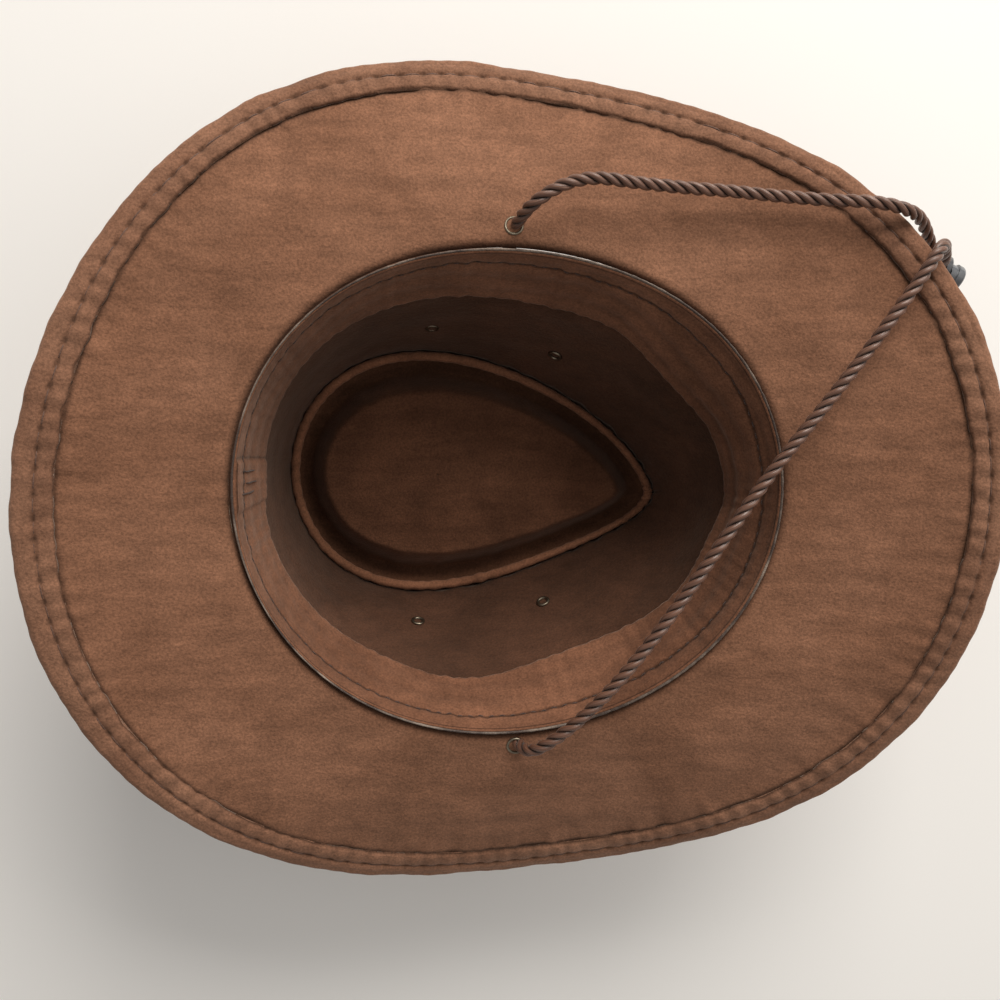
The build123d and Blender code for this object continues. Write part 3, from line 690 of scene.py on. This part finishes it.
def band_step(t, depth):
    """How far the sweatband stands in from the crown's lining: lean, ridges, sag and its lapped end."""
    stand = BAND_LEAN * depth ** 1.4
    ridges = (0.30 * np.sin(depth * 21.0 + 1.1 * ripple(t, 31, 2, 9))
              * smooth(depth / 0.15) * smooth((1 - depth) / 0.2))
    belly = 3.0 * around(t, 0.15, 0.62) * np.sin(pi * np.clip(depth, 0, 1)) ** 2
    belly = belly * (0.75 + 0.25 * np.sin(5 * t + 0.4))
    sag = 1.0 * ripple(t, 33, 2, 7) * depth ** 2 * (0.35 + around(t, 0.3, 1.2))
    seam_pull = -0.25 * np.exp(-((depth - 0.24) / 0.03) ** 2)
    off = np.arctan2(np.sin(t - pi), np.cos(t - pi))
    lap = 0.8 * smooth((off + 0.16) / 0.012) * smooth((0.02 - off) / 0.05 + 1) * (off < 0.05)
    crinkle = 0.12 * ripple(t, 35, 40, 120) * smooth(depth / 0.2)
    return (stand + ridges * (0.5 + around(t, 0.4, 0.9)) + belly + np.maximum(sag, -0.6) + seam_pull + lap
            + crinkle)


def sweatband():
    """A soft suede band whose top edge rolls over at the head opening and whose foot hangs free."""
    t = T[:, None]
    depth = np.linspace(1, 0, 60)[None, :]
    top = mouth_height(t)
    foot = MOUTH_Z - BAND_DEPTH + 0.7 * ripple(t, 37, 2, 12)
    z = foot + (top - foot) * (1 - depth)
    inner = wall_point(t, z, -0.95 - band_step(t, depth))
    turn = np.linspace(0, pi, 9)[None, 1:-1]
    roll = wall_point(t, top + 0.75 * np.sin(turn), -0.5 - 0.45 * np.cos(turn) + 0 * t)
    behind = np.linspace(0, 1, 14)[None, :]
    z_back = top + (foot - top) * behind
    outer = wall_point(t, z_back, -0.05 - np.maximum(band_step(t, behind) - 0.3, 0))
    step = band_step(t, depth)
    # Painted shade: darker in the band's valleys, along its stitched seam and at the edge of its lapped end.
    valley_shade = np.clip((np.roll(step, 1, 1) + np.roll(step, -1, 1)) / 2 - step, 0, 1) * 9
    seam_shade = 0.5 * np.exp(-((depth - 0.24) / 0.018) ** 2)
    off = np.arctan2(np.sin(t - pi), np.cos(t - pi))
    lap_shade = 0.9 * np.exp(-((off + 0.165) / 0.006) ** 2)
    shade = np.clip(valley_shade + seam_shade + lap_shade, 0, 1)
    shades = np.concatenate([shade, 0 * turn * t, 0 * behind * t], 1)
    return ring("sweatband_suede", np.concatenate([inner, roll, outer], 1), BAND_SUEDE, ["sweatband"], shades)


sweatband()


def band_reed():
    """Thin piping caught between the sweatband's fold and the brim."""
    turn = np.linspace(0, 2 * pi, 10, endpoint=False)[None, :]
    t = T[:, None]
    r = 0.40 * (1 + 0.08 * ripple(t, 41, 60, 160))
    points = wall_point(t, mouth_height(t) + 0.85 + r * np.sin(turn), 0.05 + r * np.cos(turn))
    return ring("sweatband_piping", points, REED, ["sweatband_reed"])


band_reed()


def band_stitches():
    paths, step = [], np.linspace(0, 1, 7)
    count = 138
    depth = 0.24
    for k in range(count):
        t = 2 * pi * (k + 0.16 + 0.62 * step) / count
        z = mouth_height(t) + (MOUTH_Z - BAND_DEPTH - mouth_height(t)) * depth
        stand = band_step(t, depth + 0 * t)
        sink = 0.7 * (2 * np.abs(step - 0.5)) ** 4
        paths.append(wall_point(t, z, -1.0 - stand - 0.12 + sink))
    return threads("sweatband_threads", paths, 0.24, DARK_THREAD, ["sweatband_stitching"], 5)


def band_tacks():
    """The three rows of stitches that close the sweatband's lapped end at the back of the head."""
    paths, step = [], np.linspace(0, 1, 12)
    for k, (off, low, high) in enumerate(((-0.115, 0.16, 0.62), (-0.065, 0.26, 0.66), (-0.02, 0.12, 0.60))):
        depth = low + (high - low) * step
        t = pi + off + 0 * step
        z = mouth_height(t) + (MOUTH_Z - BAND_DEPTH - mouth_height(t)) * depth
        sink = 0.9 * (2 * np.abs(step - 0.5)) ** 8
        paths.append(wall_point(t, z, -1.05 - band_step(t, depth) + sink))
    return threads("sweatband_tack_threads", paths, 0.32, DARK_THREAD, ["sweatband_tacks"])


band_stitches()
band_tacks()


# ---- crown --------------------------------------------------------------------------------------
def crown_wall(name, node, gap, thickness, material, foot, top_drop, curl):
    """A layer of the crown's side, slightly uneven as pressed cloth is."""
    t = T[::2][:, None]
    share = np.linspace(0, 1, 46)[None, :]
    top = mouth_height(t) - top_drop
    z = foot + (top - foot) * share
    plain = wall_point(t, z, 0)
    uneven = 0.45 * lumps(plain, 52.0, 51) + 0.12 * lumps(plain, 17.0, 52)
    near_tip = np.exp(-((z - SEAM_Z) / 9.0) ** 2)
    uneven = (uneven * smooth(share / 0.1) * smooth((1 - share) / 0.1)
              + 0.22 * near_tip * ripple(t, 53, 18, 60))
    tuck = curl * np.exp(-((z - foot) / 1.6) ** 2)
    inside = wall_point(t, z, gap + uneven - tuck)
    outside = wall_point(t, z[:, ::-1], gap + thickness + uneven[:, ::-1] - tuck[:, ::-1])
    # Painted shade: darker at the wall's foot, where it meets the top panel.
    shade = np.clip(0.75 * np.exp(-((z - foot) / 2.2) ** 2), 0, 1)
    return ring(name, np.concatenate([inside, outside], 1), material, [node],
                np.concatenate([shade, shade[:, ::-1]], 1))


crown_wall("crown_side_lining_suede", "crown_side_lining", LINING_GAP, LINING, SHADED_LINING_SUEDE, SEAM_Z + 0.3,
           1.0, 0.0)
crown_wall("crown_side_suede", "crown_side", LINING_GAP + LINING, WALL, BRIM_SUEDE, SEAM_Z - 2.6, BRIM + 0.3,
           1.2)


def tip_height(angle, radius):
    """Height of the top panel's inner face: seam, rolled rim, then the dent's raised floor."""
    outer, inner = teardrop_radius(angle, TIP_OUTLINE), teardrop_radius(angle, DENT_OUTLINE)
    p = (radius - inner) / (outer - inner)
    rim = CLOTH + PANEL + RIM_DROP
    lip = rim + (SEAM_Z - rim) * (np.clip(p - 0.7, 0, 0.33) / 0.3) ** 2
    flank = rim + DENT_HEIGHT * smooth((0.55 - p) / 0.55)
    floor = rim + DENT_HEIGHT + DENT_CROWN * (1 - smooth((radius - HUB_R) / (inner - HUB_R)))
    return np.where(p >= 0.7, lip, np.where(p >= 0, flank, floor))


def crown_tip(name, node, drop, thickness, material):
    """A layer of the crown's top panel with its pressed teardrop dent."""
    t = np.linspace(0, 2 * pi, 480, endpoint=False)
    x, y = teardrop(t, TIP_OUTLINE)
    angle = np.arctan2(y, x - TIP_HUB_X)[:, None]
    outer = teardrop_radius(angle, TIP_OUTLINE)
    radius = outer * np.linspace(0.004, 1, 88)[None, :]
    top = tip_height(angle, radius)
    flat = np.stack([TIP_HUB_X + radius * np.cos(angle), radius * np.sin(angle), 0 * radius], -1)
    inner = teardrop_radius(angle, DENT_OUTLINE)
    p = (radius - inner) / (outer - inner)
    slack = np.exp(-((p - 0.35) / 0.3) ** 2)
    uneven = (0.35 * lumps(flat, 30.0, 61) * smooth((outer - radius) / 14)
              + slack * 0.35 * lumps(flat, 11.0, 62))
    top = top + uneven - drop
    low = np.maximum(top - thickness, 0.0 if node == "crown_tip" else -1e9)
    top = np.maximum(top, low + 0.4)
    upper = np.stack([flat[..., 0], flat[..., 1], top], -1)
    lower = np.stack([flat[..., 0], flat[..., 1], low], -1)[:, ::-1]
    # Painted shade: darker in the dent's trough and at the seam round the panel's edge.
    trough_shade = np.exp(-((p - 0.62) / 0.16) ** 2) * 0.5
    shade = np.clip(trough_shade + 0.8 * np.exp(-((p - 1) / 0.06) ** 2), 0, 1)
    piece = ring(name, np.concatenate([upper, lower], 1), material, [node],
                 np.concatenate([shade, shade[:, ::-1]], 1))
    return close_hub(piece)


def close_hub(piece):
    """Merge the tiny rings at the panel's hub so that each face closes."""
    mesh = bmesh.new()
    mesh.from_mesh(piece.data)
    bmesh.ops.remove_doubles(mesh, verts=mesh.verts, dist=0.00002)
    mesh.to_mesh(piece.data)
    mesh.free()
    return piece


crown_tip("crown_tip_lining_suede", "crown_tip_lining", 0.0, CLOTH, SHADED_TIP_SUEDE)
crown_tip("crown_tip_suede", "crown_tip", CLOTH, PANEL, BRIM_SUEDE)


def tip_piping():
    """A cloth-covered welt along the top panel's seam, with the small tucks that sewing leaves."""
    t = np.linspace(0, 2 * pi, 700, endpoint=False)[:, None]
    turn = np.linspace(0, 2 * pi, 14, endpoint=False)[None, :]
    x, y = teardrop(t, TIP_OUTLINE)
    angle = np.arctan2(y, x - TIP_HUB_X)
    edge_r = teardrop_radius(angle, TIP_OUTLINE)
    r = 2.0 * (1 + 0.06 * ripple(t, 71, 30, 90))
    radius = edge_r - 1.7 + r * np.cos(turn)
    z = SEAM_Z + 1.9 + r * np.sin(turn) + 0.3 * ripple(t, 72, 2, 14)
    points = np.stack(np.broadcast_arrays(TIP_HUB_X + radius * np.cos(angle), radius * np.sin(angle), z), -1)
    # Painted shade on the welt's lower half, with a darker line along its upper inner side.
    line = np.exp(-((np.arctan2(np.sin(turn - 1.9), np.cos(turn - 1.9))) / 0.22) ** 2)
    shade = np.clip(-0.9 * np.sin(turn) + 0.5 * line, 0, 1) + 0 * t
    return ring("tip_welt", points, WELT_SUEDE, ["tip_seam_piping"], shade)


tip_piping()

# ---- hat band -----------------------------------------------------------------------------------
STRAP_LEATHER = leather("strap_leather", (0.045, 0.020, 0.012), (0.105, 0.050, 0.030))


def hat_strap():
    """An imitation leather strap with bevelled edges and a pressed line inside each edge."""
    t = T[::2][:, None]
    gap = LINING_GAP + LINING + WALL + STRAP_GAP
    across = np.linspace(0, 1, 30)[None, :]
    z = STRAP_LOW_Z + STRAP_WIDTH * across
    edge_gap = np.minimum(across, 1 - across) * STRAP_WIDTH
    face = STRAP - 0.5 * (1 - smooth(edge_gap / 0.9)) - 0.28 * np.exp(-((edge_gap - 1.9) / 0.28) ** 2)
    outer = wall_point(t, z + 0 * t, gap + face + 0.04 * ripple(t, 81, 20, 60))
    inner = wall_point(t, z[:, ::-1] + 0 * t, gap + 0 * t)
    return ring("hat_band_strap", np.concatenate([inner, outer], 1), STRAP_LEATHER, ["hat_band"])


hat_strap()


def strap_stitches():
    paths, step, count = [], np.linspace(0, 1, 6), 150
    gap = LINING_GAP + LINING + WALL + STRAP_GAP + STRAP
    for z in (STRAP_LOW_Z + 1.9, STRAP_LOW_Z + STRAP_WIDTH - 1.9):
        for k in range(count):
            t = 2 * pi * (k + 0.14 + 0.7 * step) / count
            sink = 0.5 * (2 * np.abs(step - 0.5)) ** 4
            paths.append(wall_point(t, z + 0 * t, gap - 0.05 - sink))
    return threads("hat_band_threads", paths, 0.2, STRAP_THREAD, [], 5)


STRAP_THREAD = thread("strap_thread", (0.16, 0.095, 0.06), (0.34, 0.22, 0.14))
strap_threads = strap_stitches()


# ---- eyelets ------------------------------------------------------------------------------------
EYELET_METAL = metal("eyelet_metal", (0.34, 0.29, 0.22), (0.14, 0.115, 0.085))


def lathe(name, profile, centre, normal, material, nodes):
    """Turn a closed profile of (radius, height) points, in millimetres, about an axis of the frame."""
    turn = np.linspace(0, 2 * pi, 48, endpoint=False)[:, None]
    r, h = (np.array([p[k] for p in profile])[None, :] for k in (0, 1))
    points = np.stack(np.broadcast_arrays(r * np.cos(turn), r * np.sin(turn), h), -1).reshape(-1, 3)
    spin = np.array(Vector(normal).to_track_quat("Z", "Y").to_matrix())
    vertices = (points @ spin.T) * MM + np.array(centre)
    return new_piece(name, vertices, quads(48, len(profile)), material, "hat", nodes)


def eyelet(name, node, bore, wall, flange, centre, normal, depth):
    """A rolled eyelet: a domed flange that turns down into its tube."""
    dome = [(bore + (flange - bore) * (1 - cos(a)) / 2, 0.08 + 0.72 * FLANGE * 1.7 * sin(a))
            for a in np.linspace(0.15, pi, 12)]
    tube = [(flange - 0.25, 0.0), (bore + wall, 0.0), (bore + wall, -depth)]
    profile = [(bore, -depth), (bore, 0.15)] + dome + tube
    return lathe(name, profile, centre, normal, EYELET_METAL, [node])


def brim_normal(x, y):
    d = 0.5

    def height(px, py):
        return float(brim_height(np.arctan2(py, px), np.hypot(px, py)))

    slope = Vector((height(x - d, y) - height(x + d, y), height(x, y - d) - height(x, y + d), 2 * d))
    return slope.normalized(), height(x, y)


for side, (x, y) in BRIM_EYELETS.items():
    normal, z = brim_normal(x, y)
    eyelet(f"brim_ring_{side}", f"brim_eyelet_{side}", BRIM_EYELET_BORE, 0.4, BRIM_FLANGE, place((x, y, z)),
           normal, BRIM + 0.9)
for name in ("left_back", "left_front", "right_back", "right_front"):
    mount = MOUNTS[f"vent_{name}"]
    outward = Vector(mount["axis"])
    inner_face = Vector(mount["pos_m"]) - outward * (mount["dims"]["length_mm"] / 2 - FLANGE) * MM
    eyelet(f"vent_ring_{name}", f"vent_eyelet_{name}", VENT_BORE, 0.35, VENT_FLANGE, inner_face, -outward,
           3.2)


# ---- finishes of the model's own parts ----------------------------------------------------------
def finish_node(node, material):
    mesh = frame["nodes"][node].data
    mesh.materials.clear()
    mesh.materials.append(material)


BUCKLE_METAL = metal("buckle_metal", (0.58, 0.46, 0.27), (0.30, 0.21, 0.11), 0.30)
WIRE_METAL = metal("wire_metal", (0.55, 0.55, 0.56), (0.30, 0.29, 0.28), 0.35)
SPRING_METAL = metal("spring_metal", (0.72, 0.72, 0.74), (0.45, 0.45, 0.46), 0.22)
LOCK_PLASTIC = moulded("lock_plastic", (0.030, 0.031, 0.036), (0.060, 0.062, 0.070))
BUTTON_PLASTIC = moulded("button_plastic", (0.075, 0.080, 0.090), (0.130, 0.138, 0.150))
for node, material in (("brim_stiffener", board()), ("brim_edge_wire", WIRE_METAL),
                       ("hat_band_buckle", BUCKLE_METAL), ("hat_band_prong", BUCKLE_METAL),
                       ("hat_band_keeper", STRAP_LEATHER), ("cord_lock_barrel", LOCK_PLASTIC),
                       ("cord_lock_plunger", BUTTON_PLASTIC), ("cord_lock_spring", SPRING_METAL)):
    finish_node(node, material)
for name in MOUNTS:
    if name.startswith("vent_"):
        finish_node(name.replace("vent_", "vent_washer_"), EYELET_METAL)
for side in BRIM_EYELETS:
    finish_node(f"brim_washer_{side}", EYELET_METAL)


# ---- floor and light ----------------------------------------------------------------------------
def add_floor():
    bpy.ops.mesh.primitive_plane_add(size=6, location=(0, 0, -0.0002))
    floor = bpy.context.object
    floor.name = "floor"
    s = Shader("floor_cloth", Roughness=0.9)
    s.principled.inputs["Base Color"].default_value = (0.93, 0.915, 0.895, 1)
    floor.data.materials.append(s.material)


def add_light(name, location, target, size, power, colour):
    data = bpy.data.lights.new(name, "AREA")
    data.size, data.energy, data.color = size, power, colour
    light = bpy.data.objects.new(name, data)
    light.location = location
    light.rotation_euler = (Vector(target) - Vector(location)).to_track_quat("-Z", "Y").to_euler()
    bpy.context.scene.collection.objects.link(light)


def add_world():
    world = bpy.data.worlds.new("world")
    bpy.context.scene.world = world
    world.use_nodes = True
    world.node_tree.nodes["Background"].inputs["Color"].default_value = (1.0, 0.97, 0.93, 1)
    world.node_tree.nodes["Background"].inputs["Strength"].default_value = 0.38


bpy.context.scene.view_settings.view_transform = "Standard"
add_floor()
add_world()
add_light("key_light", (0.45, 1.40, 0.98), (0.0, 0.0, 0.05), 1.1, 33.0, (1.0, 0.96, 0.90))
add_light("fill_light", (1.3, 0.5, 1.1), (0.0, 0.0, 0.05), 1.4, 5.0, (1.0, 0.95, 0.88))
